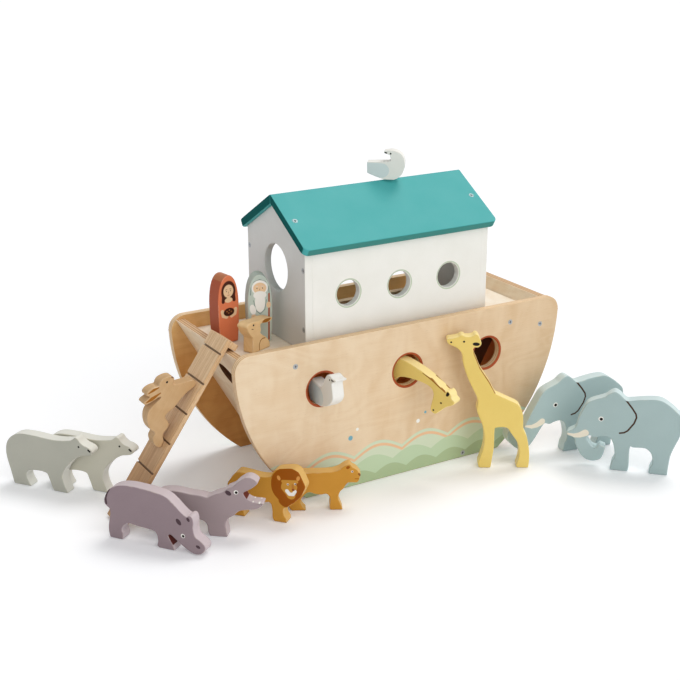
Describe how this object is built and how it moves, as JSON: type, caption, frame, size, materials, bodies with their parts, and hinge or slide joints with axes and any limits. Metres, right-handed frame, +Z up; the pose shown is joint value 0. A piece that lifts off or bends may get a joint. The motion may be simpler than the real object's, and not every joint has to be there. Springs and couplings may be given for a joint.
{
  "type": "toy ark",
  "caption": "Painted plywood toy ark with a lift-off gabled cabin, open at the back, over a hold, portholes, a hooked ramp and flat cut animals and people.",
  "frame": {"origin": "centre of the hull's flat bottom, on the surface it stands on", "axes": "+X towards the stern, +Y towards starboard, +Z up"},
  "size_m": [0.6093, 0.3548, 0.3257],
  "materials": {
    "painted_birch": "clear-lacquered birch plywood with a painted sea low on the side",
    "birch": "clear-lacquered birch plywood",
    "white_paint": "satin white paint on plywood",
    "teal_paint": "satin teal paint on plywood",
    "ramp_wood": "sanded solid wood",
    "bear_paint": "matt off-white paint on wood",
    "hippo_paint": "matt mauve-grey paint on wood",
    "lion_paint": "matt ochre paint on wood",
    "giraffe_paint": "matt yellow paint on wood",
    "elephant_paint": "matt blue-grey paint on wood",
    "rabbit_paint": "matt tan paint on wood",
    "dove_paint": "matt white paint on wood",
    "man_paint": "matt grey-green paint on wood",
    "woman_paint": "matt terracotta paint on wood",
    "screw_steel": "zinc-plated steel"
  },
  "bodies": {
    "hull": {"hull_side_port": "painted_birch", "hull_side_starboard": "painted_birch", "bow_board": "birch", "stern_board": "birch", "hull_floor": "birch", "deck": "birch", "hull_screws_port": "screw_steel", "hull_screws_starboard": "screw_steel"},
    "cabin": {"cabin_side_port": "white_paint", "cabin_side_starboard": "white_paint", "cabin_gable_bow": "white_paint", "cabin_gable_stern": "white_paint", "locating_strip_port": "birch", "locating_strip_starboard": "birch", "roof_panel_port": "teal_paint", "roof_panel_starboard": "teal_paint", "gable_screws_bow": "screw_steel", "gable_screws_stern": "screw_steel", "roof_screws_port": "screw_steel", "roof_screws_starboard": "screw_steel"},
    "ramp": {"ramp_board": "ramp_wood", "ramp_hook": "ramp_wood"},
    "polar_bear_left": {"polar_bear_left": "bear_paint"},
    "polar_bear_right": {"polar_bear_right": "bear_paint"},
    "hippo_grazing": {"hippo_grazing": "hippo_paint"},
    "hippo_yawning": {"hippo_yawning": "hippo_paint"},
    "lion": {"lion": "lion_paint"},
    "lioness": {"lioness": "lion_paint"},
    "giraffe_standing": {"giraffe_standing": "giraffe_paint"},
    "elephant_left": {"elephant_left": "elephant_paint"},
    "elephant_right": {"elephant_right": "elephant_paint"},
    "rabbit_sitting": {"rabbit_sitting": "rabbit_paint"},
    "man_figure": {"man_figure": "man_paint"},
    "woman_figure": {"woman_figure": "woman_paint"},
    "rabbit_climbing": {"rabbit_climbing": "rabbit_paint"},
    "dove_on_roof": {"dove_on_roof": "dove_paint"},
    "dove_in_porthole": {"dove_in_porthole": "dove_paint"},
    "giraffe_reaching": {"giraffe_reaching": "giraffe_paint"}
  },
  "joints": [
    {"name": "cabin_lift", "type": "slide", "parent": "hull", "child": "cabin", "axis": [0, 0, 1], "range_m": [0, 0.15]},
    {"name": "ramp_lift", "type": "slide", "parent": "hull", "child": "ramp", "axis": [0, 0, 1], "range_m": [0, 0.06]},
    {"name": "polar_bear_left_lift", "type": "slide", "parent": "hull", "child": "polar_bear_left", "axis": [0, 0, 1], "range_m": [0, 0.08]},
    {"name": "polar_bear_right_lift", "type": "slide", "parent": "hull", "child": "polar_bear_right", "axis": [0, 0, 1], "range_m": [0, 0.08]},
    {"name": "hippo_grazing_lift", "type": "slide", "parent": "hull", "child": "hippo_grazing", "axis": [0, 0, 1], "range_m": [0, 0.08]},
    {"name": "hippo_yawning_lift", "type": "slide", "parent": "hull", "child": "hippo_yawning", "axis": [0, 0, 1], "range_m": [0, 0.08]},
    {"name": "lion_lift", "type": "slide", "parent": "hull", "child": "lion", "axis": [0, -0.3511, 0.9363], "range_m": [0, 0.08]},
    {"name": "lioness_lift", "type": "slide", "parent": "hull", "child": "lioness", "axis": [0, 0, 1], "range_m": [0, 0.045]},
    {"name": "giraffe_standing_lift", "type": "slide", "parent": "hull", "child": "giraffe_standing", "axis": [0, 0, 1], "range_m": [0, 0.08]},
    {"name": "elephant_left_lift", "type": "slide", "parent": "hull", "child": "elephant_left", "axis": [0, 0, 1], "range_m": [0, 0.08]},
    {"name": "elephant_right_lift", "type": "slide", "parent": "hull", "child": "elephant_right", "axis": [0, 0, 1], "range_m": [0, 0.08]},
    {"name": "rabbit_sitting_lift", "type": "slide", "parent": "hull", "child": "rabbit_sitting", "axis": [0, 0, 1], "range_m": [0, 0.08]},
    {"name": "man_figure_lift", "type": "slide", "parent": "hull", "child": "man_figure", "axis": [0, 0, 1], "range_m": [0, 0.08]},
    {"name": "woman_figure_lift", "type": "slide", "parent": "hull", "child": "woman_figure", "axis": [0, 0, 1], "range_m": [0, 0.08]},
    {"name": "rabbit_climbing_lift", "type": "slide", "parent": "ramp", "child": "rabbit_climbing", "axis": [-0.8192, 0, 0.5736], "range_m": [0, 0.06]},
    {"name": "dove_on_roof_lift", "type": "slide", "parent": "cabin", "child": "dove_on_roof", "axis": [0, 0, 1], "range_m": [0, 0.06]},
    {"name": "dove_in_porthole_slide", "type": "slide", "parent": "hull", "child": "dove_in_porthole", "axis": [0, -1, 0], "range_m": [0, 0.04]},
    {"name": "giraffe_reaching_slide", "type": "slide", "parent": "hull", "child": "giraffe_reaching", "axis": [0.4226, -0.9063, 0], "range_m": [-0.02, 0.002]}
  ]
}
